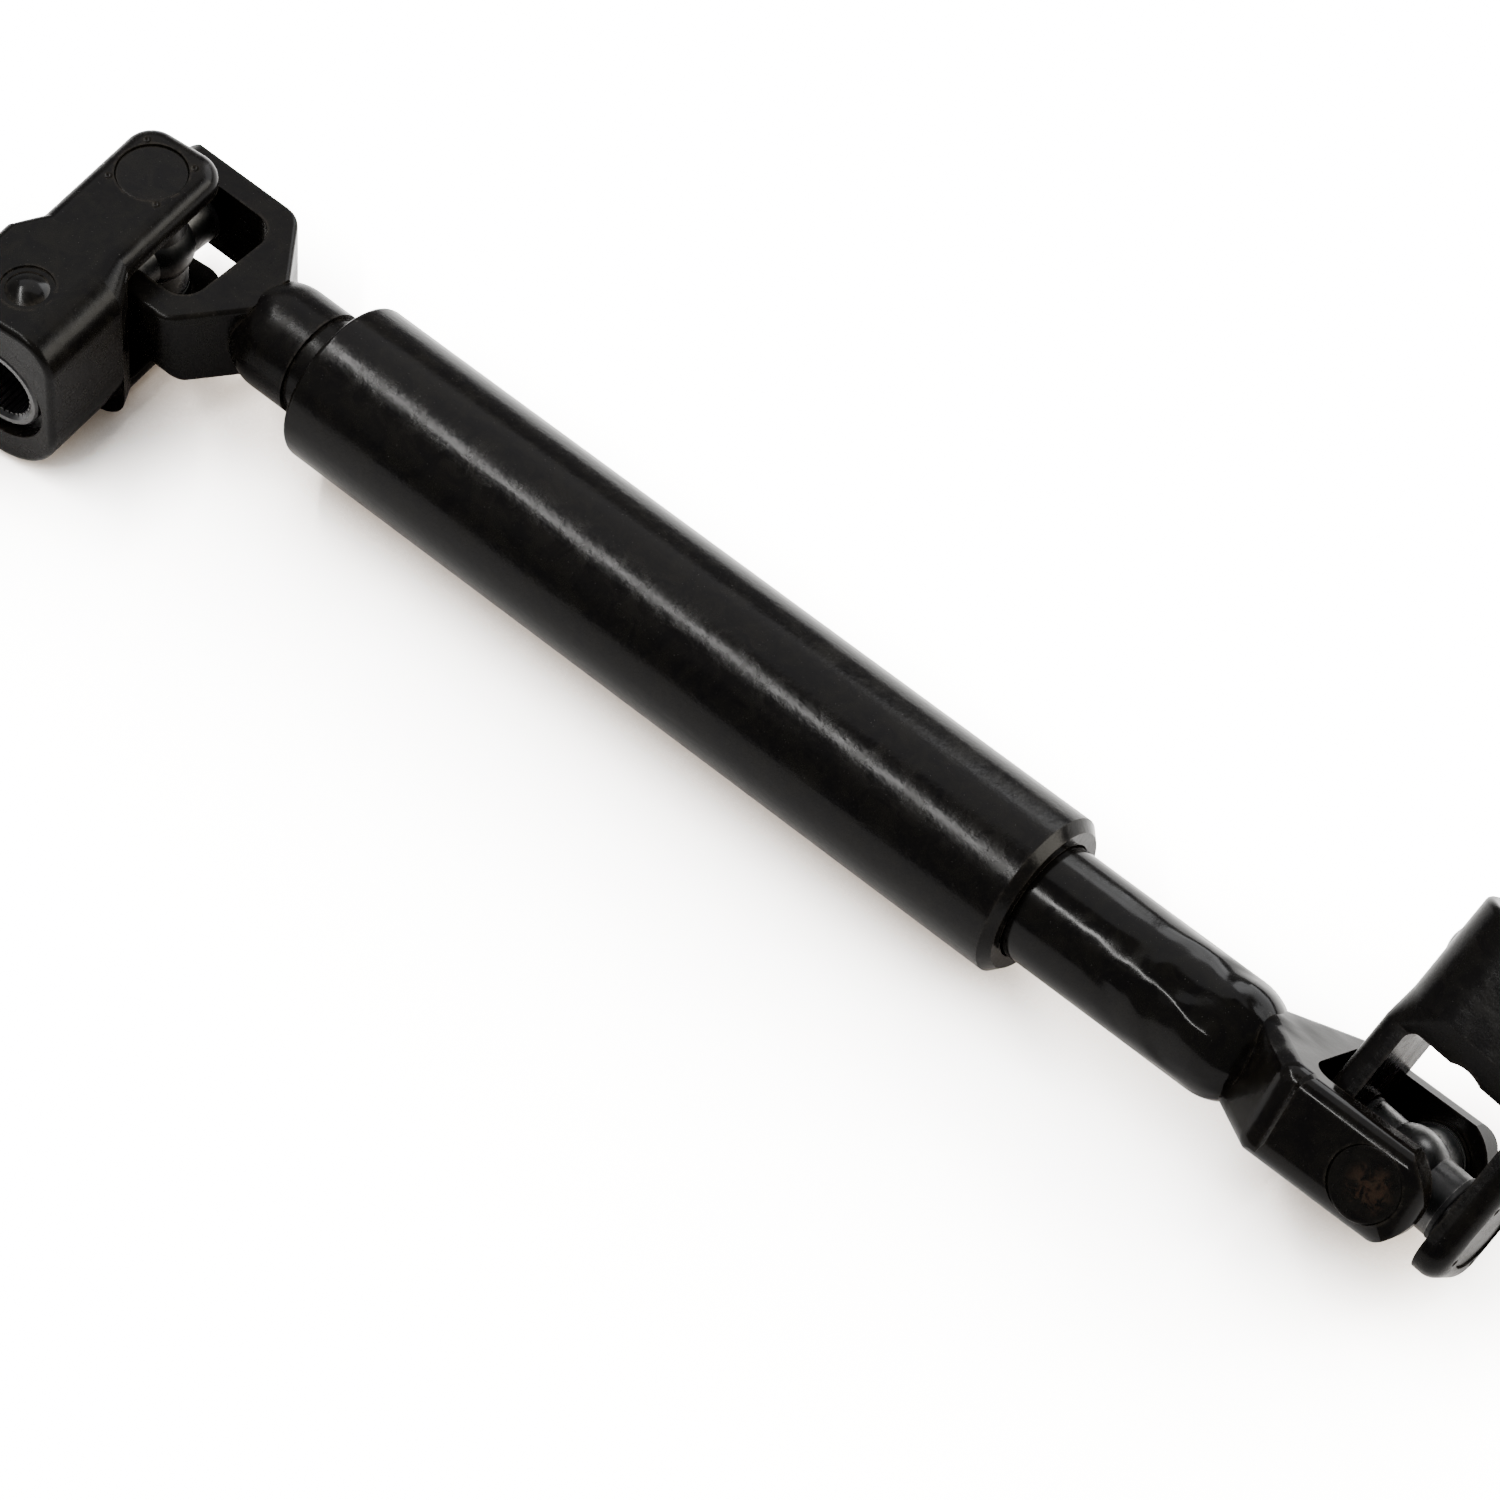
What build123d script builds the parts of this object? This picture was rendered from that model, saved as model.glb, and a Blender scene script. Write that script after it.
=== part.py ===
from build123d import *
import os
from math import cos, pi, sin, sqrt

# A telescoping intermediate shaft with a universal joint at each end.
# Working frame: X runs along the shaft axis, from the sleeve's plain end to its mouth, Z is up.
# Every piece is shifted at the end, so that the origin is at the centre of the base of the whole part.

# ---- Sleeve ----
sleeve_diameter = 35.0
sleeve_length = 182.0
sleeve_rim_radius = 1.2
mouth_chamfer = 2.0
stem_length = 24.0
stem_radius = 12.2

# ---- Sliding shaft ----
shaft_diameter = 24.9
shaft_exposed = 44.0
mouth_clearance = 0.36
slide_in = 30.0
slide_out = 25.0
end_clearance = 1.0
seal_width = 4.2
seal_depth = 1.4
seal_clearance = 0.05
seal_inset = 3.0

# ---- Splines of the sliding shaft ----
spline_teeth = 16
spline_tooth_width = 2.0
spline_tooth_height = 1.3
spline_tip_drop = 1.25
coat_thickness = 0.45
spline_clearance = 0.06
stop_ring_width = 1.6
stop_ring_gap = 4.0
stop_ring_clearance = 0.3

# ---- Joint cross and its needle bearings ----
cup_radius = 7.5
cup_mouth = 12.3
cup_depth = 5.4
cup_recess = 0.4
trunnion_radius = 4.9
trunnion_end_gap = 0.1
needle_radius = 0.7
needle_clearance = 0.02
needle_end_gap = 0.3
cross_shoulder = 11.0
cross_arm_radius = 6.9
cross_core_radius = 8.6
cross_seal_gap = 0.1

# ---- Forks, forged on the neck and on the sliding shaft ----
fork_half_height = 10.1
fork_inner = 13.4
fork_reach = 10.8
fork_web = 22.0
fork_slot_radius = 5.5
fork_tip_radius = 5.5
fork_bottom_radius = 6.0
swing_clearance = 0.5
left_pad = 19.4
left_pad_step = 0.0
left_shoulder = 22.0
left_shoulder_radius = 6.0
left_nose = (32.3, 6.0)
left_edge_radius = 1.2
right_pad = 19.7
right_pad_step = 1.2
right_shoulder = 24.0
right_shoulder_radius = 5.0
right_nose = (37.1, 5.4)
right_edge_radius = 3.5
pad_start = 19.8
left_neck_end = 37.0
right_neck_end = 42.5
neck_radius = 11.65
neck_length = 52.3
neck_groove_width = 6.0
neck_groove_depth = 0.9

# ---- Splined yokes ----
left_arm = (21.0, 15.5)
right_arm = (19.4, 13.4)
arm_half_width = 10.9
arm_end = 11.8
arm_end_corner = 6.5
arm_edge_radius = 4.0
yoke_web = 22.0
yoke_web_radius = 2.5
yoke_shoulder_start = 21.0
yoke_shoulder_end = 27.5
yoke_end = 49.5
yoke_half_width = 14.6
left_yoke_rolls = (8.0, 3.0)
right_yoke_rolls = (3.0, 12.0)
yoke_round_centre = -5.0
yoke_rim_radius = 1.4
hub_radius = 12.0
hub_boss_radius = 9.9
hub_boss_length = 2.4
hub_inset = 0.9
hub_teeth = 36
hub_minor_radius = 7.3
hub_major_radius = 8.0
hub_land = 0.45
hub_mouth_chamfer = 0.8
pin_radius = 3.0
pin_position = 38.5
pin_bite = 2.6
pin_head_radius = 4.5
pin_head_height = 1.5
pin_seat_radius = 5.7
pin_seat_depth = 0.4
stake_radius = 1.1
stake_depth = 0.4

# ---- How the assembly lies ----
left_bend = 95.4
right_roll = -38.5
right_cross_turn = -85.0
right_bend = 12.0

# ---- Derived sizes ----
sleeve_radius = sleeve_diameter / 2
arm_sweep = arm_edge_radius + sqrt(
    (arm_end - arm_edge_radius) ** 2 + (left_arm[0] - arm_edge_radius) ** 2
)
shaft_radius = shaft_diameter / 2
sleeve_left = -sleeve_length / 2
sleeve_right = sleeve_length / 2
mouth_radius = shaft_radius + mouth_clearance
seal_right = sleeve_right - mouth_chamfer - seal_inset
seal_left = seal_right - seal_width
stem_end = sleeve_left + stem_length
plain_start = seal_left - slide_out - end_clearance
shaft_end = stem_end + slide_in + end_clearance
stop_ring_left = shaft_end + stop_ring_width
spline_start = stop_ring_left + stop_ring_width
sleeve_spline_left = spline_start + slide_out + end_clearance
sleeve_spline_right = plain_start - slide_in - end_clearance
steel_tip = shaft_radius - spline_tip_drop
steel_root = steel_tip - spline_tooth_height
coat_tip = steel_tip + coat_thickness
coat_root = steel_root + coat_thickness
coat_tooth_width = spline_tooth_width + 2 * coat_thickness
cup_bore = trunnion_radius + 2 * needle_radius + 2 * needle_clearance
trunnion_end = cup_mouth + cup_depth - trunnion_end_gap
needle_pitch_radius = trunnion_radius + needle_radius + needle_clearance
needle_count = int(pi * needle_pitch_radius / (needle_radius + needle_clearance))
left_centre = sleeve_left - neck_length
right_centre = sleeve_right + shaft_exposed + right_neck_end

# ---- Where each joint's pieces stand ----
left_fork_frame = Pos(left_centre, 0, 0) * Rot(0, 0, 180)
left_cross_frame = left_fork_frame
left_yoke_frame = left_cross_frame * Rot(0, 0, left_bend)
right_fork_frame = Pos(right_centre, 0, 0) * Rot(right_roll, 0, 0)
right_cross_frame = right_fork_frame * Rot(0, right_cross_turn, 0)
right_yoke_frame = right_cross_frame * Rot(0, 0, right_bend)
up = Rot(0, 0, 0)
down = Rot(180, 0, 0)
towards_plus_y = Rot(-90, 0, 0)
towards_minus_y = Rot(90, 0, 0)


def across(x):
    """Plane square to the shaft axis at x; its normal is +X."""
    return Plane.YZ.offset(x)


def splined_outline(root, tip, tooth_width, teeth):
    """Straight-sided spline: a disc of the root radius with teeth that reach the tip radius."""
    with BuildSketch(Plane.XY) as outline:
        Circle(root)
        with PolarLocations(root / 2, teeth):
            Rectangle(root, tooth_width)
        with PolarLocations((root + tip) / 2, teeth):
            Rectangle(tip - root + 0.5, tooth_width)
        Circle(tip, mode=Mode.INTERSECT)
    return outline.sketch


def serrated_outline(minor, major, land, teeth):
    """Serrated hole: a zigzag out to the major radius, its teeth cut off at the minor radius.

    The land is the share of the minor circle that the teeth's tips keep.
    """
    step = pi / teeth
    sharp = (minor - land * major) / (1 - land)
    corners = [
        ((sharp, major)[k % 2] * cos(k * step), (sharp, major)[k % 2] * sin(k * step))
        for k in range(2 * teeth)
    ]
    with BuildSketch(Plane.XY) as outline:
        with BuildLine():
            Polyline(*corners, close=True)
        make_face()
        Circle(minor)
    return outline.sketch


# ---- Sleeve: thick tube, splined inside, chamfered at its mouth ----
sleeve_splines = splined_outline(
    coat_root + spline_clearance,
    coat_tip + spline_clearance,
    coat_tooth_width + 2 * spline_clearance,
    spline_teeth,
)
coat_splines = splined_outline(coat_root, coat_tip, coat_tooth_width, spline_teeth)
steel_splines = splined_outline(steel_root, steel_tip, spline_tooth_width, spline_teeth)
with BuildPart() as outer_sleeve:
    with BuildSketch(across(sleeve_left)):
        Circle(sleeve_radius)
    extrude(amount=sleeve_length)
    fillet(outer_sleeve.edges().filter_by(GeomType.CIRCLE).sort_by(Axis.X)[0], sleeve_rim_radius)
    chamfer(outer_sleeve.edges().filter_by(GeomType.CIRCLE).sort_by(Axis.X)[-1], mouth_chamfer)
    with BuildSketch(across(sleeve_left)):
        Circle(stem_radius)
    extrude(amount=sleeve_spline_left - sleeve_left, mode=Mode.SUBTRACT)
    with BuildSketch(across(sleeve_spline_left)):
        add(sleeve_splines)
    extrude(amount=sleeve_spline_right - sleeve_spline_left, mode=Mode.SUBTRACT)
    with BuildSketch(across(sleeve_spline_right)):
        Circle(mouth_radius)
    extrude(amount=sleeve_right - sleeve_spline_right, mode=Mode.SUBTRACT)
    with BuildSketch(across(seal_left)):
        Circle(mouth_radius + seal_depth)
    extrude(amount=seal_width, mode=Mode.SUBTRACT)

# ---- Shaft seal: rubber ring with two lips, held in the sleeve's groove ----
with BuildPart() as shaft_seal:
    with BuildSketch(Plane.XZ):
        with BuildLine():
            Polyline(
                (seal_left, mouth_radius + seal_depth),
                (seal_right, mouth_radius + seal_depth),
                (seal_right, shaft_radius + seal_clearance),
                (seal_right - seal_width / 4, shaft_radius + seal_clearance),
                (seal_right - seal_width / 2, mouth_radius),
                (seal_left + seal_width / 4, shaft_radius + seal_clearance),
                (seal_left, shaft_radius + seal_clearance),
                close=True,
            )
        make_face()
    revolve(axis=Axis.X)


def fork_body(fork_pad, pad_step, shoulder, shoulder_radius, nose, edge_radius):
    """Forged fork in its own frame: ears towards +X, bearing bores along Y, flats square to Z.

    Each ear's outer face lies fork_pad from the bore's middle, and may step out by pad_step to a
    flat pad round the bearing. Behind the shoulder the sides taper to the nose, a (back, side) pair.
    """
    shoulder_outer = fork_pad - pad_step
    taper = nose[0]
    pad_edge = []
    if pad_step > 0:
        pad_edge = [(-pad_start - pad_step, shoulder_outer), (-pad_start, fork_pad)]
    edge = [(-taper, nose[1]), (-shoulder, shoulder_outer), *pad_edge, (fork_reach, fork_pad)]
    with BuildPart() as fork:
        with BuildSketch(Plane.XY.offset(-fork_half_height)) as plan:
            with BuildLine():
                Polyline(*edge, *[(x, -y) for x, y in reversed(edge)], close=True)
            make_face()
            fillet(plan.vertices().group_by(Axis.X)[-1], fork_tip_radius)
            fillet(plan.vertices().group_by(Axis.X)[1], shoulder_radius)
        extrude(amount=2 * fork_half_height)
        rims = fork.faces().filter_by(Axis.Z).edges()
        fillet(rims.filter_by(lambda e: e.center().X > -taper + 0.5), edge_radius)
        with BuildSketch(across(-taper)) as section:
            Rectangle(2 * fork_pad, 2 * fork_half_height)
            fillet(section.vertices().group_by(Axis.Y)[0], fork_bottom_radius)
        extrude(amount=taper + fork_reach, mode=Mode.INTERSECT)
        with BuildSketch(Plane.XY.offset(-fork_half_height)) as slot:
            with Locations(((fork_reach - fork_web) / 2 + 5, 0)):
                Rectangle(fork_web + fork_reach + 10, 2 * fork_inner)
            fillet(slot.vertices().group_by(Axis.X)[0], fork_slot_radius)
        extrude(amount=2 * fork_half_height, mode=Mode.SUBTRACT)
        with BuildSketch(Plane.XZ.offset(-fork_pad)) as ends:
            with Locations((fork_reach, 0)):
                Rectangle(2 * fork_reach, 4 * fork_reach)
            Circle(fork_reach, mode=Mode.SUBTRACT)
        extrude(amount=2 * fork_pad, mode=Mode.SUBTRACT)
        with BuildSketch(Plane.XZ.offset(-arm_half_width - swing_clearance)):
            Circle(arm_sweep + swing_clearance)
        extrude(amount=2 * (arm_half_width + swing_clearance), mode=Mode.SUBTRACT)
        with BuildSketch(Plane.XZ.offset(-fork_pad)):
            Circle(cup_radius)
        extrude(amount=2 * fork_pad, mode=Mode.SUBTRACT)
    return fork.part


# ---- Left fork: ears, short neck, and the stem pressed into the sleeve ----
left_ears = left_fork_frame * fork_body(
    left_pad, left_pad_step, left_shoulder, left_shoulder_radius, left_nose, left_edge_radius
)
with BuildPart() as left_fork:
    add(left_ears)
    with BuildSketch(across(left_centre + left_neck_end)):
        Circle(neck_radius)
    extrude(amount=neck_length - left_neck_end)
    with Locations((left_centre + left_neck_end, 0, 0)):
        Sphere(neck_radius, rotation=(0, 90, 0))
    with BuildSketch(across(sleeve_left)):
        Circle(stem_radius)
    extrude(amount=stem_length)
    chamfer(left_fork.edges().filter_by(GeomType.CIRCLE).sort_by(Axis.X)[-1], 1.0)
    with BuildSketch(across(sleeve_left - neck_groove_width)):
        Circle(neck_radius)
        Circle(neck_radius - neck_groove_depth, mode=Mode.SUBTRACT)
    extrude(amount=neck_groove_width, mode=Mode.SUBTRACT)

# ---- Sliding shaft: splined end, ground round bar, and the right fork, in one piece ----
right_ears = right_fork_frame * fork_body(
    right_pad, right_pad_step, right_shoulder, right_shoulder_radius, right_nose, right_edge_radius
)
with BuildPart() as inner_shaft:
    add(right_ears)
    with BuildSketch(across(plain_start)):
        Circle(shaft_radius)
    extrude(amount=right_centre - right_neck_end - plain_start)
    chamfer(inner_shaft.edges().filter_by(GeomType.CIRCLE).sort_by(Axis.X)[0], 0.8)
    with Locations((right_centre - right_neck_end, 0, 0)):
        Sphere(shaft_radius, rotation=(0, 90, 0))
    with BuildSketch(across(shaft_end)):
        add(steel_splines)
    extrude(amount=plain_start - shaft_end)
    with BuildSketch(across(stop_ring_left)):
        Circle(steel_tip)
        Circle(steel_root - 0.8, mode=Mode.SUBTRACT)
    extrude(amount=stop_ring_width, mode=Mode.SUBTRACT)

# ---- Nylon coat moulded over the splines ----
with BuildPart() as spline_coat:
    with BuildSketch(across(spline_start)):
        add(coat_splines)
        add(steel_splines, mode=Mode.SUBTRACT)
    extrude(amount=plain_start - spline_start)

# ---- Stop ring: open spring ring that meets the sleeve's splines at full reach ----
with BuildPart() as stop_ring:
    with BuildSketch(across(stop_ring_left)):
        Circle(stem_radius - stop_ring_clearance)
        Circle(steel_root - 0.8, mode=Mode.SUBTRACT)
        with Locations((0, -stem_radius)):
            Rectangle(stop_ring_gap, 2 * stem_radius - 4, mode=Mode.SUBTRACT)
    extrude(amount=stop_ring_width)


def joint_cross():
    """Forged cross: four stout arms that end in ground trunnions, along Y and Z."""
    with BuildPart() as cross:
        Sphere(cross_core_radius)
        for facing in (up, down, towards_plus_y, towards_minus_y):
            plane = Plane(facing)
            with BuildSketch(plane):
                Circle(cross_arm_radius)
            extrude(amount=cross_shoulder)
            with BuildSketch(plane):
                Circle(trunnion_radius)
            extrude(amount=trunnion_end)
    return cross.part


def bearing_cup(seat_face):
    """Drawn steel cup in line with Z, its closed end just inside the face it is pressed into."""
    with BuildPart() as cup:
        with BuildSketch(Plane.XY.offset(cup_mouth)):
            Circle(cup_radius)
        extrude(amount=seat_face - cup_recess - cup_mouth)
        fillet(cup.edges().filter_by(GeomType.CIRCLE).sort_by(Axis.Z)[-1], 0.5)
        with BuildSketch(Plane.XY.offset(cup_mouth)):
            Circle(cup_bore)
        extrude(amount=cup_depth, mode=Mode.SUBTRACT)
    return cup.part


def needle_set():
    """The loose needles of one cup, standing round the trunnion."""
    length = cup_depth - 2 * needle_end_gap
    with BuildPart() as needles:
        with BuildSketch(Plane.XY.offset(cup_mouth + needle_end_gap)):
            with PolarLocations(needle_pitch_radius, needle_count):
                Circle(needle_radius)
        extrude(amount=length)
    return needles.part


def cup_seal():
    """Rubber ring between the cross and the mouth of a cup."""
    with BuildPart() as seal:
        with BuildSketch(Plane.XY.offset(cross_shoulder)):
            Circle(cup_radius - 0.4)
            Circle(trunnion_radius, mode=Mode.SUBTRACT)
        extrude(amount=cup_mouth - cross_seal_gap - cross_shoulder)
        fillet(seal.edges().filter_by(GeomType.CIRCLE).group_by(Axis.Z)[-1].sort_by(SortBy.RADIUS)[-1], 0.5)
    return seal.part


def tall_outline(sketch, half_height, half_width, plus_radius, minus_radius):
    """Outline square to the yoke's bore: a tall rectangle whose long edges are rolled."""
    Rectangle(2 * half_width, 2 * half_height)
    fillet(sketch.vertices().group_by(Axis.X)[-1], plus_radius)
    fillet(sketch.vertices().group_by(Axis.X)[0], minus_radius)


def splined_yoke(arm_outer, arm_inner, rolls):
    """Forged yoke: two arms with round ends, a block with the hub's bore along X.

    The arms lie between arm_inner and arm_outer from the bore's axis. The two rolls are the
    radii of the block's long edges, on its +Y and its -Y side.
    """
    with BuildPart() as yoke:
        with BuildSketch(Plane.XY.offset(-arm_outer)) as ends:
            with Locations(((yoke_shoulder_start - arm_end) / 2, 0)):
                Rectangle(yoke_shoulder_start + arm_end, 2 * arm_half_width)
            fillet(ends.vertices().group_by(Axis.X)[0], arm_end_corner)
        extrude(amount=2 * arm_outer)
        rims = yoke.faces().filter_by(Axis.Z).edges()
        fillet(rims.filter_by(lambda e: e.center().X < yoke_shoulder_start - 1), arm_edge_radius)
        with BuildSketch(across(yoke_shoulder_start)) as arms:
            tall_outline(arms, arm_outer, arm_half_width, arm_edge_radius, arm_edge_radius)
        with BuildSketch(across(yoke_shoulder_end)) as block:
            tall_outline(block, arm_outer, yoke_half_width, *rolls)
        loft()
        with BuildSketch(across(yoke_shoulder_end)) as block:
            tall_outline(block, arm_outer, yoke_half_width, *rolls)
        extrude(amount=yoke_end - yoke_shoulder_end)
        with BuildSketch(across(yoke_shoulder_end)):
            with Locations((0, yoke_round_centre - arm_outer)):
                Rectangle(4 * yoke_half_width, 2 * arm_outer)
            with Locations((0, yoke_round_centre)):
                Circle(yoke_half_width, mode=Mode.SUBTRACT)
        extrude(amount=yoke_end - yoke_shoulder_end, mode=Mode.SUBTRACT)
        fillet(yoke.faces().sort_by(Axis.X)[-1].edges(), yoke_rim_radius)
        with BuildSketch(Plane.XZ.offset(-yoke_half_width)) as gap:
            with Locations((yoke_web - 30, 0)):
                Rectangle(60, 2 * arm_inner)
            fillet(gap.vertices().group_by(Axis.X)[-1], yoke_web_radius)
        extrude(amount=2 * yoke_half_width, mode=Mode.SUBTRACT)
        with BuildSketch(Plane.XY.offset(-arm_outer)):
            Circle(cup_radius)
        extrude(amount=2 * arm_outer, mode=Mode.SUBTRACT)
        with BuildSketch(across(0)):
            Circle(hub_radius)
        extrude(amount=yoke_end, mode=Mode.SUBTRACT)
        with BuildSketch(Plane.XY):
            with Locations((pin_position, 0)):
                Circle(pin_radius)
        extrude(amount=arm_outer, mode=Mode.SUBTRACT)
        with BuildSketch(Plane.XY.offset(arm_outer)):
            with Locations((pin_position, 0)):
                Circle(pin_seat_radius)
        extrude(amount=-pin_seat_depth, mode=Mode.SUBTRACT)
        for side in (1, -1):
            with Locations(Plane.XY.offset(side * (arm_outer + stake_radius - stake_depth))):
                with PolarLocations(cup_radius + stake_radius, 4, start_angle=45):
                    Sphere(stake_radius, mode=Mode.SUBTRACT)
    return yoke.part


def splined_hub():
    """Serrated steel bush pressed into the yoke's bore, along X."""
    hub_start = yoke_web + 1.0
    shoulder = yoke_end - hub_inset - hub_boss_length
    serrations = serrated_outline(hub_minor_radius, hub_major_radius, hub_land, hub_teeth)
    with BuildPart() as hub:
        with BuildSketch(across(hub_start)):
            Circle(hub_radius)
        extrude(amount=shoulder - hub_start)
        with BuildSketch(across(shoulder)):
            Circle(hub_boss_radius)
        extrude(amount=hub_boss_length)
        chamfer(hub.edges().filter_by(GeomType.CIRCLE).sort_by(Axis.X)[-1], 0.5)
        with BuildSketch(across(hub_start)):
            add(serrations)
        extrude(amount=yoke_end, mode=Mode.SUBTRACT)
        with BuildSketch(Plane.XZ):
            mouth = yoke_end - hub_inset
            with BuildLine():
                Polyline(
                    (mouth, 0),
                    (mouth, hub_major_radius + hub_mouth_chamfer / 2),
                    (mouth - hub_mouth_chamfer, hub_major_radius - hub_mouth_chamfer / 2),
                    (mouth - hub_mouth_chamfer, 0),
                    close=True,
                )
            make_face()
        revolve(axis=Axis.X, mode=Mode.SUBTRACT)
        with BuildSketch(Plane.XY.offset(hub_radius - pin_bite)):
            with Locations((pin_position, 0)):
                Circle(pin_radius)
        extrude(amount=pin_bite, mode=Mode.SUBTRACT)
    return hub.part


def hub_pin(arm_outer):
    """Round-headed pin that holds the hub in the yoke, along Z."""
    seat = arm_outer - pin_seat_depth
    dome_radius = (pin_head_radius**2 + pin_head_height**2) / (2 * pin_head_height)
    with BuildPart() as pin:
        with BuildSketch(Plane.XZ):
            with BuildLine():
                Polyline(
                    (0, seat + pin_head_height),
                    (0, hub_radius - pin_bite),
                    (pin_radius, hub_radius - pin_bite),
                    (pin_radius, seat),
                    (pin_head_radius, seat),
                )
                RadiusArc((pin_head_radius, seat), (0, seat + pin_head_height), -dome_radius)
            make_face()
        revolve(axis=Axis.Z)
    return Pos(pin_position, 0, 0) * pin.part


cross = joint_cross()
needles = needle_set()
seal = cup_seal()
hub = splined_hub()

pieces = {
    "outer_sleeve": outer_sleeve.part,
    "shaft_seal": shaft_seal.part,
    "left_fork": left_fork.part,
    "inner_shaft": inner_shaft.part,
    "spline_coat": spline_coat.part,
    "stop_ring": stop_ring.part,
}
joints = {
    "left": (left_fork_frame, left_cross_frame, left_yoke_frame, left_pad, left_arm, left_yoke_rolls),
    "right": (right_fork_frame, right_cross_frame, right_yoke_frame, right_pad, right_arm, right_yoke_rolls),
}
for side, (fork_frame, cross_frame, yoke_frame, pad, arm, rolls) in joints.items():
    pieces[f"{side}_cross"] = cross_frame * cross
    pieces[f"{side}_yoke"] = yoke_frame * splined_yoke(*arm, rolls)
    pieces[f"{side}_hub"] = yoke_frame * hub
    pieces[f"{side}_hub_pin"] = yoke_frame * hub_pin(arm[0])
    seats = {
        "fork_a": (fork_frame, towards_plus_y, pad),
        "fork_b": (fork_frame, towards_minus_y, pad),
        "yoke_a": (yoke_frame, up, arm[0]),
        "yoke_b": (yoke_frame, down, arm[0]),
    }
    for seat, (frame, facing, face) in seats.items():
        pieces[f"{side}_{seat}_cup"] = frame * facing * bearing_cup(face)
        pieces[f"{side}_{seat}_needles"] = frame * facing * needles
        pieces[f"{side}_{seat}_seal"] = cross_frame * facing * seal

# ---- Origin at the centre of the base ----
box = Compound(children=[Part(p.wrapped) for p in pieces.values()]).bounding_box()
origin = Pos(-(box.min.X + box.max.X) / 2, -(box.min.Y + box.max.Y) / 2, -box.min.Z)

os.makedirs("parts", exist_ok=True)
for name, piece in pieces.items():
    placed = origin * piece
    placed.label = name
    export_step(placed, f"parts/{name}.step")
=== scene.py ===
import bpy
import numpy as np
from mathutils import Matrix, Vector


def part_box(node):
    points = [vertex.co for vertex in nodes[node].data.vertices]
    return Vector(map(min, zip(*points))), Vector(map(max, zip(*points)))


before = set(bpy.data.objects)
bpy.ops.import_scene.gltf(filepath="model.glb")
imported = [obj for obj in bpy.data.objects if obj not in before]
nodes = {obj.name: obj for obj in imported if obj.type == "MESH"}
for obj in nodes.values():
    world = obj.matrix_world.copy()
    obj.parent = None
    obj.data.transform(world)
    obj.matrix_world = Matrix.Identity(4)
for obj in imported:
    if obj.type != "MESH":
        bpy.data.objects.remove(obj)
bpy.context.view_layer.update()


# ---- Sleeve ----
# A thick steel tube, turned at both ends and painted black. The paint is a semi-gloss coat, thin at the
# chamfered mouth, with an orange-peel skin and slow runs along the tube.


class Shader:
    """Short names for making nodes in a shader tree and joining them."""

    def __init__(self, tree):
        self.tree = tree

    def node(self, kind, **values):
        """New node; keywords name its properties, or its inputs when they have spaces written as _."""
        made = self.tree.nodes.new(kind)
        for key, value in values.items():
            if hasattr(made, key):
                setattr(made, key, value)
            else:
                self.join(value, made.inputs[key.replace("_", " ")])
        return made

    def join(self, source, target):
        """Links a socket to an input, or sets the input's value."""
        if isinstance(source, bpy.types.NodeSocket):
            self.tree.links.new(source, target)
        else:
            target.default_value = source

    def maths(self, operation, a, b=0.0, clamp=False):
        """One sum of two values."""
        made = self.tree.nodes.new("ShaderNodeMath")
        made.operation = operation
        made.use_clamp = clamp
        self.join(a, made.inputs[0])
        self.join(b, made.inputs[1])
        return made.outputs[0]

    def noise(self, vector, scale, detail=2.0, roughness=0.5, distortion=0.0):
        """Soft noise from 0 to 1."""
        made = self.node("ShaderNodeTexNoise", Vector=vector, Scale=scale, Detail=detail,
                         Roughness=roughness, Distortion=distortion)
        return made.outputs["Fac"]

    def spread(self, value, low, high, to_low=0.0, to_high=1.0):
        """Maps low..high to to_low..to_high, eased at both ends and clamped."""
        made = self.tree.nodes.new("ShaderNodeMapRange")
        made.interpolation_type = "SMOOTHSTEP"
        for i, v in enumerate((value, low, high, to_low, to_high)):
            self.join(v, made.inputs[i])
        return made.outputs[0]

    def mix(self, factor, a, b):
        """Blend of two colours."""
        made = self.tree.nodes.new("ShaderNodeMix")
        made.data_type = "RGBA"
        self.join(factor, made.inputs[0])
        self.join(a, made.inputs[6])
        self.join(b, made.inputs[7])
        return made.outputs[2]

    def squeezed(self, sx, sy, sz):
        """Object coordinates, with each axis scaled."""
        coordinates = self.node("ShaderNodeTexCoord").outputs["Object"]
        return self.node("ShaderNodeMapping", vector_type="POINT", Vector=coordinates,
                         Scale=(sx, sy, sz)).outputs["Vector"]

    def shared(self, group):
        """A copy of a node group, placed in this tree."""
        made = self.tree.nodes.new("ShaderNodeGroup")
        made.node_tree = group
        return made


def start_group(name, inputs, outputs):
    """New node group with named value inputs (with their usual values) and outputs."""
    tree = bpy.data.node_groups.new(name, "ShaderNodeTree")
    for key, value in inputs.items():
        tree.interface.new_socket(key, in_out="INPUT", socket_type="NodeSocketFloat").default_value = value
    for key in outputs:
        tree.interface.new_socket(key, in_out="OUTPUT", socket_type="NodeSocketFloat")
    return Shader(tree), tree.nodes.new("NodeGroupInput").outputs, tree.nodes.new("NodeGroupOutput").inputs


def start_material(name):
    """New material: its shader, its surface node, and the surface's inputs."""
    material = bpy.data.materials.new(name)
    material.use_nodes = True
    surface = material.node_tree.nodes["Principled BSDF"]
    return material, Shader(material.node_tree), surface.inputs


def dress(material, *names):
    """Gives CAD nodes this material."""
    for name in names:
        nodes[name].data.materials.clear()
        nodes[name].data.materials.append(material)


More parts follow.
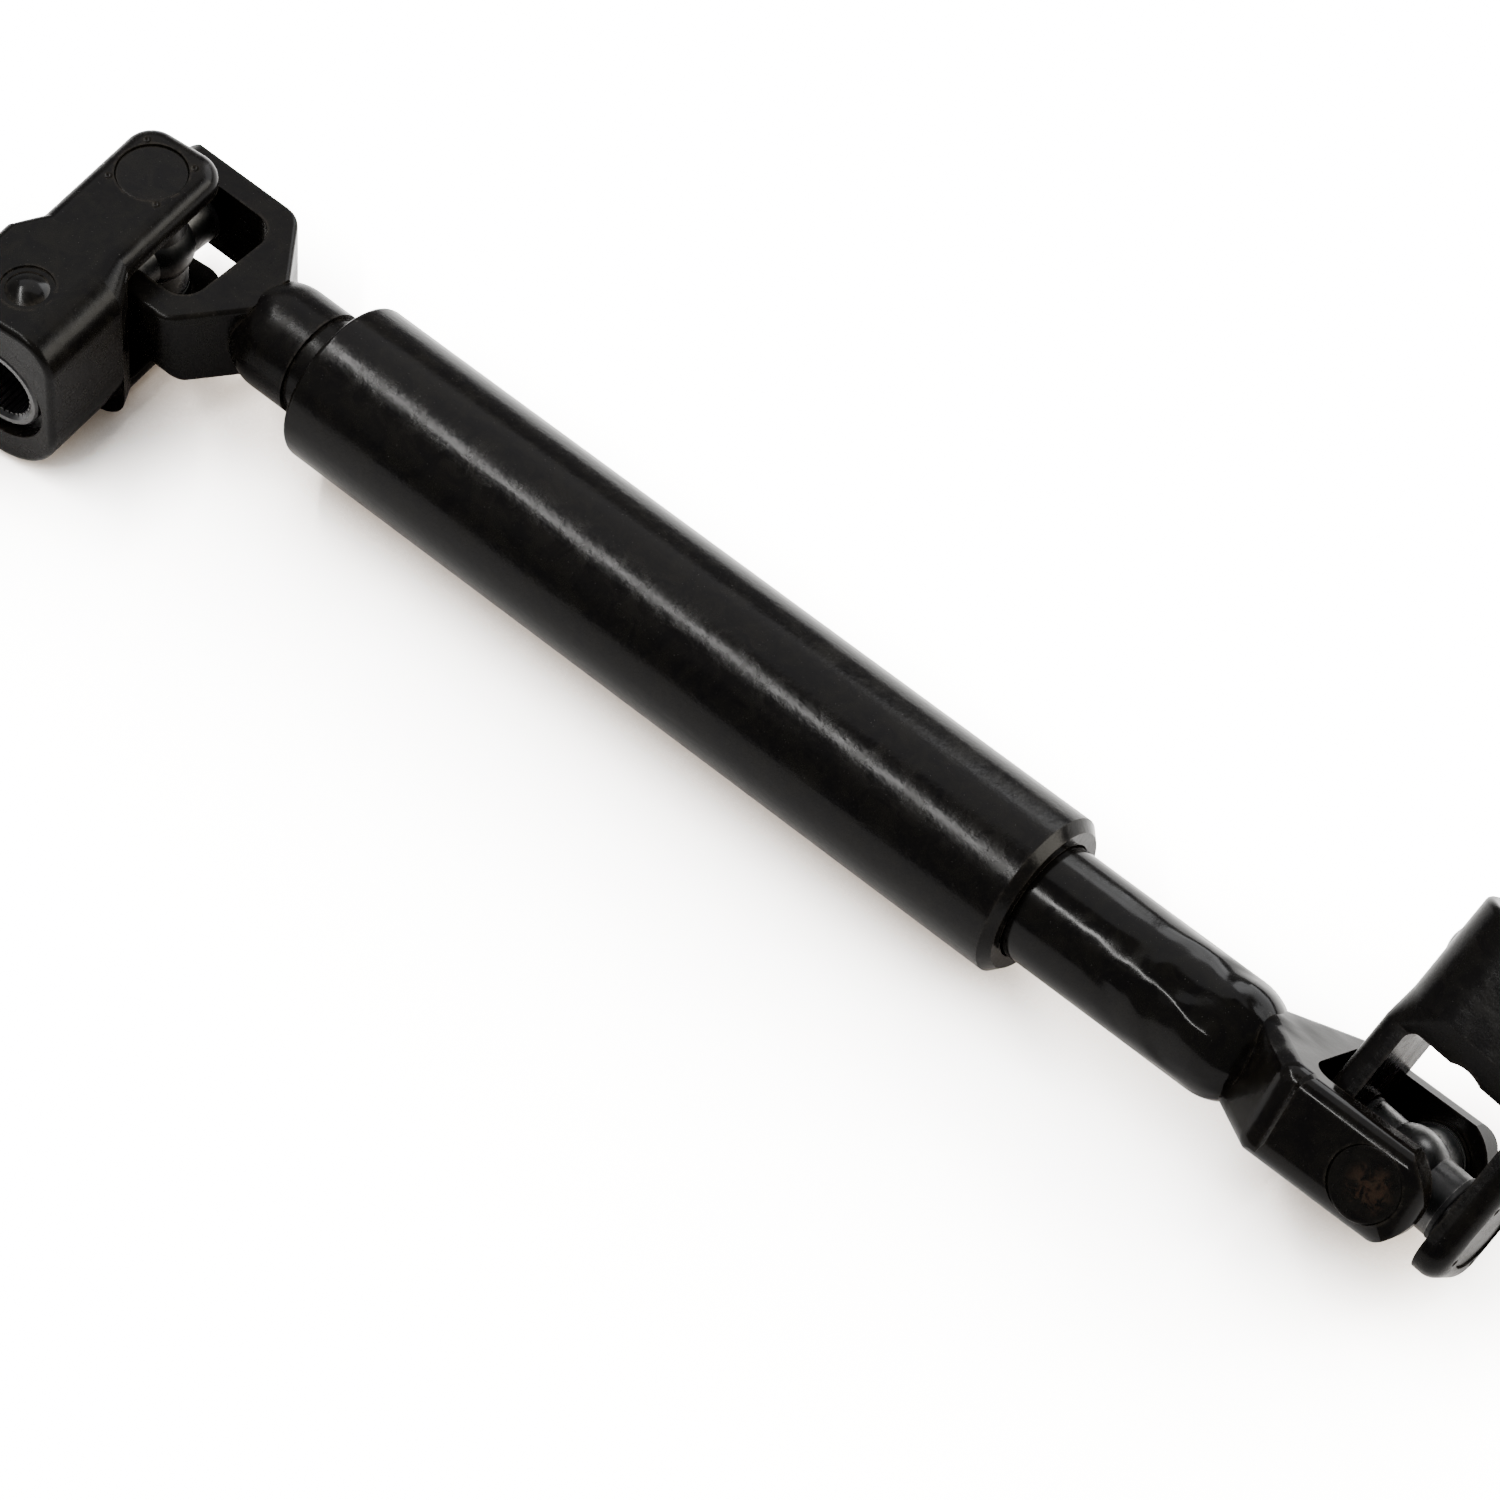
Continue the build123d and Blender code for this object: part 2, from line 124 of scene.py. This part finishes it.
# Brushed-on paint that has pulled into an orange-peel skin: a height, and a slow mottle for its gloss.
g, taken, given = start_group("paint_skin", {"Scale": 1.0, "Runs": 0.0}, ("Height", "Mottle"))
plain = g.squeezed(1, 1, 1)
along = g.squeezed(0.22, 1, 1)
peel = g.noise(plain, g.maths("MULTIPLY", taken["Scale"], 760.0), 4.0, 0.6)
pools = g.noise(along, g.maths("MULTIPLY", taken["Scale"], 150.0), 3.0, 0.5, 0.4)
runs = g.noise(along, g.maths("MULTIPLY", taken["Scale"], 260.0), 2.0, 0.4, 1.2)
skin = g.maths("ADD", g.maths("MULTIPLY", peel, 0.22), g.maths("MULTIPLY", pools, 0.55))
g.join(g.maths("ADD", skin, g.maths("MULTIPLY", runs, taken["Runs"])), given["Height"])
g.join(g.spread(g.noise(plain, 190.0, 6.0, 0.7, 0.6), 0.35, 0.68), given["Mottle"])
paint_skin = g.tree

# Paint rubbed thin at the corners, broken up along them.
g, taken, given = start_group("rubbed_edges", {"Width": 0.0012, "Amount": 1.0}, ("Mask",))
turned = g.node("ShaderNodeBevel", samples=4, Radius=taken["Width"]).outputs["Normal"]
flat = g.node("ShaderNodeNewGeometry").outputs["Normal"]
agree = g.node("ShaderNodeVectorMath", operation="DOT_PRODUCT")
g.join(turned, agree.inputs[0])
g.join(flat, agree.inputs[1])
corner = g.spread(agree.outputs["Value"], 0.995, 0.86)
chipped = g.spread(g.noise(g.squeezed(1, 1, 1), 520.0, 5.0, 0.7), 0.38, 0.62)
g.join(g.maths("MULTIPLY", g.maths("MULTIPLY", corner, chipped), taken["Amount"], clamp=True), given["Mask"])
rubbed_edges = g.tree

# Fine dust and handling marks: specks on faces that look up, and faint smears.
g, taken, given = start_group("settled_dust", {"Amount": 1.0}, ("Specks", "Smears"))
parts = g.node("ShaderNodeSeparateXYZ", Vector=g.node("ShaderNodeNewGeometry").outputs["Normal"])
upward = g.spread(parts.outputs["Z"], 0.1, 0.9)
grit = g.spread(g.noise(g.squeezed(1, 1, 1), 2600.0, 2.0, 0.5), 0.70, 0.76)
g.join(g.maths("MULTIPLY", g.maths("MULTIPLY", grit, upward), taken["Amount"]), given["Specks"])
smears = g.spread(g.noise(g.squeezed(0.35, 1.0, 1.0), 120.0, 7.0, 0.72, 1.5), 0.48, 0.75)
g.join(g.maths("MULTIPLY", smears, taken["Amount"]), given["Smears"])
settled_dust = g.tree


deep_black = (0.0006, 0.0005, 0.0005, 1)
brown_black = (0.0014, 0.0012, 0.0009, 1)
thin_paint = (0.008, 0.0066, 0.0050, 1)
dust_grey = (0.05, 0.047, 0.044, 1)
dust_cover = 0.2
smear_dulling = 0.05
edge_dulling = 0.25


def black_paint(name, scale, runs, gloss, shine, peel_depth, wear):
    """Black paint over steel: gloss is its lowest and highest roughness, shine how much it mirrors."""
    material, s, surface = start_material(name)
    skin = s.shared(paint_skin)
    skin.inputs["Scale"].default_value = scale
    skin.inputs["Runs"].default_value = runs
    edges = s.shared(rubbed_edges)
    edges.inputs["Amount"].default_value = wear
    dust = s.shared(settled_dust)
    mottle = skin.outputs["Mottle"]
    paint = s.mix(mottle, deep_black, brown_black)
    worn = s.mix(edges.outputs["Mask"], paint, thin_paint)
    dusty = s.mix(s.maths("MULTIPLY", dust.outputs["Specks"], dust_cover), worn, dust_grey)
    s.join(dusty, surface["Base Color"])
    sheen = s.spread(mottle, 0.0, 1.0, gloss[0], gloss[1])
    smeared = s.maths("ADD", sheen, s.maths("MULTIPLY", dust.outputs["Smears"], smear_dulling))
    dulled = s.maths("MULTIPLY", edges.outputs["Mask"], edge_dulling)
    s.join(s.maths("ADD", smeared, dulled, clamp=True), surface["Roughness"])
    bump = s.node("ShaderNodeBump", Strength=1.0, Distance=peel_depth, Height=skin.outputs["Height"])
    s.join(bump.outputs["Normal"], surface["Normal"])
    surface["IOR"].default_value = 1.52
    surface["Specular IOR Level"].default_value = shine
    return material, s, surface, bump, dusty


sleeve_paint = black_paint("sleeve_paint", scale=1.0, runs=0.10, gloss=(0.15, 0.21), shine=0.032,
                           peel_depth=0.00016, wear=0.9)[0]
dress(sleeve_paint, "outer_sleeve")


# ---- Forks and yokes ----
# Drop forgings with soft, uneven skins, machined at the bores and dipped in the same black paint. The flats
# are duller than the rounds, and the corners have been knocked bare in places.

forging_paint, s, surface, bump, _ = black_paint(
    "forging_paint", scale=1.5, runs=0.0, gloss=(0.22, 0.29), shine=0.024, peel_depth=0.00006, wear=0.8)
scale_pits = s.noise(s.squeezed(1, 1, 1), 330.0, 4.0, 0.6)
dents = s.noise(s.squeezed(1, 1, 1), 85.0, 2.0, 0.5, 0.5)
pit_share = 0.30
forged = s.maths("ADD", dents, s.maths("MULTIPLY", scale_pits, pit_share))
forging_depth = 0.00016
rough_skin = s.node("ShaderNodeBump", Strength=1.0, Distance=forging_depth, Height=forged,
                    Normal=bump.outputs["Normal"])
s.join(rough_skin.outputs["Normal"], surface["Normal"])
dress(forging_paint, "left_fork", "left_yoke", "right_yoke")


# ---- Sliding shaft ----
# A ground bar with the right fork forged on its end. Its paint went on thicker: glossy, with ripples and
# small runs where it gathered against the fork's shoulder.

shaft_paint, s, surface, bump, _ = black_paint(
    "shaft_paint", scale=0.9, runs=0.12, gloss=(0.11, 0.16), shine=0.033, peel_depth=0.00006, wear=0.7)
run_start, run_middle, run_end = 0.076, 0.112, 0.134
place = s.node("ShaderNodeSeparateXYZ", Vector=s.squeezed(1, 1, 1)).outputs["X"]
gathered = s.maths("MULTIPLY", s.spread(place, run_start, run_middle), s.spread(place, run_end, run_middle))
ripples = s.noise(s.squeezed(0.8, 1, 1), 105.0, 0.5, 0.4, 0.5)
ripple_depth = 0.0024
waves = s.node("ShaderNodeBump", Strength=gathered, Distance=ripple_depth, Height=ripples,
               Normal=bump.outputs["Normal"])
s.join(waves.outputs["Normal"], surface["Normal"])
dress(shaft_paint, "inner_shaft")


# ---- Joint crosses ----
# Forged crosses left in their dark oiled finish, with a bright parting line ground off and lathe marks on the
# shoulders. They see no paint, so they are greyer than the forks.

cross_steel, s, surface = start_material("cross_steel")
grain = s.noise(s.squeezed(1, 1, 1), 240.0, 6.0, 0.62)
blotches = s.noise(s.squeezed(1, 1, 1), 60.0, 4.0, 0.6, 0.8)
oiled = s.mix(s.spread(blotches, 0.3, 0.7), (0.006, 0.006, 0.006, 1), (0.016, 0.0155, 0.015, 1))
edges = s.shared(rubbed_edges)
edges.inputs["Width"].default_value = 0.0007
s.join(s.mix(edges.outputs["Mask"], oiled, (0.06, 0.058, 0.055, 1)), surface["Base Color"])
surface["Metallic"].default_value = 0.85
s.join(s.spread(grain, 0.25, 0.75, 0.24, 0.46), surface["Roughness"])
marks = s.node("ShaderNodeBump", Strength=1.0, Distance=0.00006, Height=grain)
s.join(marks.outputs["Normal"], surface["Normal"])
dress(cross_steel, "left_cross", "right_cross")


# ---- Bearing cups ----
# Drawn steel cups pressed into the ears and arms, painted over with them. The seam round each one shows as a
# thin dark ring; the one in the right fork's near ear has a spot of rust that came through the paint.

cup_corners = np.array(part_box("right_fork_b_cup"))
rust_place = Vector(cup_corners.mean(axis=0))
rust_shift = Vector((0.0012, 0.0, 0.0))
cup_steel, s, surface, bump, dusty = black_paint(
    "cup_steel", scale=1.6, runs=0.0, gloss=(0.24, 0.30), shine=0.028, peel_depth=0.00003, wear=0.6)
away = s.node("ShaderNodeVectorMath", operation="DISTANCE")
s.join(s.squeezed(1, 1, 1), away.inputs[0])
away.inputs[1].default_value = rust_place + rust_shift
rust_edge, rust_heart = 0.0070, 0.0042
near = s.spread(away.outputs["Value"], rust_edge, rust_heart)
flakes = s.spread(s.noise(s.squeezed(1, 1, 1), 420.0, 6.0, 0.7, 0.8), 0.45, 0.60)
rust_mask = s.maths("MULTIPLY", near, flakes)
rust_red = (0.0080, 0.0034, 0.0020, 1)
rust_brown = (0.0045, 0.0040, 0.0026, 1)
rust = s.mix(s.noise(s.squeezed(1, 1, 1), 900.0, 3.0), rust_red, rust_brown)
s.join(s.mix(rust_mask, dusty, rust), surface["Base Color"])
crust = s.node("ShaderNodeBump", Strength=rust_mask, Distance=0.00015,
               Height=s.noise(s.squeezed(1, 1, 1), 900.0, 4.0), Normal=bump.outputs["Normal"])
s.join(crust.outputs["Normal"], surface["Normal"])
seats = ("fork_a", "fork_b", "yoke_a", "yoke_b")
dress(cup_steel, *[f"{side}_{seat}_cup" for side in ("left", "right") for seat in seats])


# ---- Needles ----
# Hardened, ground rollers with a film of grease over them.

needle_steel, s, surface = start_material("needle_steel")
grease = s.spread(s.noise(s.squeezed(1, 1, 1), 420.0, 4.0, 0.6), 0.42, 0.62)
s.join(s.mix(grease, (0.52, 0.52, 0.53, 1), (0.30, 0.22, 0.10, 1)), surface["Base Color"])
surface["Metallic"].default_value = 0.9
s.join(s.spread(grease, 0.0, 1.0, 0.14, 0.35), surface["Roughness"])
surface["Coat Weight"].default_value = 0.5
dress(needle_steel, *[f"{side}_{seat}_needles" for side in ("left", "right") for seat in seats])


# ---- Rubber rings ----
# Moulded nitrile rings between the crosses and the cups, and the lipped ring in the sleeve's mouth. They are
# matt, with a bloom on the rubber and a faint grain from the mould.

seal_rubber, s, surface = start_material("seal_rubber")
bloom = s.spread(s.noise(s.squeezed(1, 1, 1), 210.0, 5.0, 0.65), 0.40, 0.72)
s.join(s.mix(bloom, (0.002, 0.002, 0.002, 1), (0.006, 0.0058, 0.0056, 1)), surface["Base Color"])
s.join(s.spread(bloom, 0.0, 1.0, 0.52, 0.78), surface["Roughness"])
surface["Specular IOR Level"].default_value = 0.10
mould = s.node("ShaderNodeBump", Strength=1.0, Distance=0.00003,
               Height=s.noise(s.squeezed(1, 1, 1), 1500.0, 3.0))
s.join(mould.outputs["Normal"], surface["Normal"])
ring_names = [f"{side}_{seat}_seal" for side in ("left", "right") for seat in seats]
dress(seal_rubber, "shaft_seal", *ring_names)


# ---- Serrated hubs ----
# Broached steel bushes pressed into the yokes. They are oiled, not painted: dark, with bright tooth tips and
# turning marks on the shouldered face.

hub_steel, s, surface = start_material("hub_steel")
film = s.spread(s.noise(s.squeezed(1, 1, 1), 130.0, 5.0, 0.6, 0.5), 0.35, 0.68)
tips = s.shared(rubbed_edges)
tips.inputs["Width"].default_value = 0.0004
blued = s.mix(film, (0.004, 0.004, 0.0042, 1), (0.011, 0.0105, 0.010, 1))
s.join(s.mix(tips.outputs["Mask"], blued, (0.022, 0.021, 0.020, 1)), surface["Base Color"])
surface["Metallic"].default_value = 0.8
s.join(s.spread(film, 0.0, 1.0, 0.28, 0.44), surface["Roughness"])
turning = s.node("ShaderNodeBump", Strength=1.0, Distance=0.00002,
                 Height=s.noise(s.squeezed(1, 1, 1), 1100.0, 3.0))
s.join(turning.outputs["Normal"], surface["Normal"])
dress(hub_steel, "left_hub", "right_hub")


# ---- Hub pins ----
# Round-headed pins driven through the blocks into the hubs and painted over, a little glossier than the
# forging round them.

pin_paint = black_paint("pin_paint", scale=1.3, runs=0.0, gloss=(0.15, 0.22), shine=0.040,
                        peel_depth=0.00003, wear=0.5)[0]
dress(pin_paint, "left_hub_pin", "right_hub_pin")


# ---- Nylon coat ----
# Blue nylon moulded over the sliding splines, scuffed along the way it slides.

nylon, s, surface = start_material("nylon")
scuffs = s.spread(s.noise(s.squeezed(0.05, 1, 1), 900.0, 4.0, 0.6), 0.45, 0.70)
s.join(s.mix(scuffs, (0.045, 0.11, 0.26, 1), (0.10, 0.18, 0.34, 1)), surface["Base Color"])
s.join(s.spread(scuffs, 0.0, 1.0, 0.30, 0.50), surface["Roughness"])
surface["Subsurface Weight"].default_value = 0.05
dress(nylon, "spline_coat")


# ---- Stop ring ----
# Hardened spring wire ring, heat-blued and oiled.

ring_steel, s, surface = start_material("ring_steel")
temper = s.spread(s.noise(s.squeezed(1, 1, 1), 160.0, 4.0, 0.6, 0.6), 0.35, 0.65)
s.join(s.mix(temper, (0.035, 0.040, 0.060, 1), (0.10, 0.085, 0.070, 1)), surface["Base Color"])
surface["Metallic"].default_value = 0.9
s.join(s.spread(temper, 0.0, 1.0, 0.22, 0.36), surface["Roughness"])
dress(ring_steel, "stop_ring")


# ---- Floor ----
# A smooth white table top with a very faint tooth, large enough to fill every view, with painted shade in its
# colour next to the part.

floor_size = 8.0
floor_drop = 0.0003
table_lift = 3.0
shade_reach = 0.07
# Warm painted shade that the table's colour takes on where the part closes it in.
painted_crevice_shade = (0.16, 0.128, 0.100, 1)
floor_mesh = bpy.data.meshes.new("floor")
floor_mesh.from_pydata(
    [(x * floor_size / 2, y * floor_size / 2, 0.0) for x, y in ((-1, -1), (1, -1), (1, 1), (-1, 1))],
    [], [(0, 1, 2, 3)],
)
floor = bpy.data.objects.new("floor", floor_mesh)
bpy.context.scene.collection.objects.link(floor)
floor.location.z = -floor_drop
white, s, surface = start_material("table_white")
tooth = s.noise(s.squeezed(1, 1, 1), 300.0, 3.0, 0.6)
# Seen directly, the table is lifted to the white of a bright sheet; what it throws on the paint is not. The
# shade in the crevices between part and table is deepened with it: there the table's own colour is darkened
# towards a warm painted shade.
seen = s.node("ShaderNodeLightPath").outputs["Is Camera Ray"]
lift = s.node("ShaderNodeVectorMath", operation="SCALE")
open_sky = s.node("ShaderNodeAmbientOcclusion", samples=12, Distance=shade_reach).outputs["AO"]
sheet = s.mix(tooth, (0.86, 0.85, 0.845, 1), (0.90, 0.895, 0.89, 1))
s.join(s.mix(s.spread(open_sky, 0.15, 0.95), painted_crevice_shade, sheet), lift.inputs[0])
s.join(s.spread(seen, 0.0, 1.0, 1.0, table_lift), lift.inputs["Scale"])
s.join(lift.outputs["Vector"], surface["Base Color"])
surface["Roughness"].default_value = 0.75
surface["Specular IOR Level"].default_value = 0.2
floor_mesh.materials.append(white)


# ---- Light ----
# A long, narrow soft box almost overhead gives the streak along the tube; four wide, dimmer ones fill from
# the back, the right, the ceiling and the near left. The room round them is dim.


def soft_box(name, direction, distance, size, power, colour):
    """Rectangular lamp of a width and depth that looks at the part's middle from a direction."""
    lamp = bpy.data.lights.new(name, "AREA")
    lamp.shape = "RECTANGLE"
    lamp.size, lamp.size_y = size
    lamp.energy = power
    lamp.color = colour
    lit = bpy.data.objects.new(name, lamp)
    outward = Vector(direction).normalized()
    aim = outward.to_track_quat("Z", "Y").to_matrix().to_4x4()
    lit.matrix_world = Matrix.Translation(outward * distance) @ aim
    bpy.context.scene.collection.objects.link(lit)


soft_box("key", (-0.353, -0.290, 0.89), 1.15, (1.3, 0.055), 46.0, (1.0, 0.99, 0.97))
soft_box("back", (0.25, 0.95, 0.55), 1.6, (1.8, 0.9), 85.0, (0.97, 0.985, 1.0))
soft_box("right_back", (0.80, 0.55, 0.42), 1.7, (1.2, 0.8), 85.0, (1.0, 0.95, 0.84))
soft_box("ceiling", (-0.35, 0.47, 0.81), 1.6, (1.7, 1.3), 34.0, (0.98, 0.98, 1.0))
soft_box("near_left", (-0.85, -0.75, 0.75), 1.8, (1.2, 1.0), 4.0, (1.0, 0.97, 0.93))
world = bpy.data.worlds.new("room")
world.use_nodes = True
room = world.node_tree.nodes["Background"].inputs
room["Color"].default_value = (0.95, 0.97, 1.0, 1)
room["Strength"].default_value = 1.0
bpy.context.scene.world = world


# ---- Camera ----
# High on the near right, looking down along the shaft, with a long lens.

camera_data = bpy.data.cameras.new("camera")
camera_data.lens = 148.36
camera_data.sensor_width = 36.0
camera_data.clip_end = 20.0
camera = bpy.data.objects.new("camera", camera_data)
right = Vector((0.74987, 0.65895, 0.05902))
upward = Vector((-0.55960, 0.58416, 0.58788))
looking = Vector((-0.35291, 0.47386, -0.80679))
turned = Matrix((right, upward, -looking)).transposed().to_4x4()
eye = (0.42174, -0.57039, 0.97410)
camera.matrix_world = Matrix.Translation(eye) @ turned
bpy.context.scene.collection.objects.link(camera)
bpy.context.scene.camera = camera
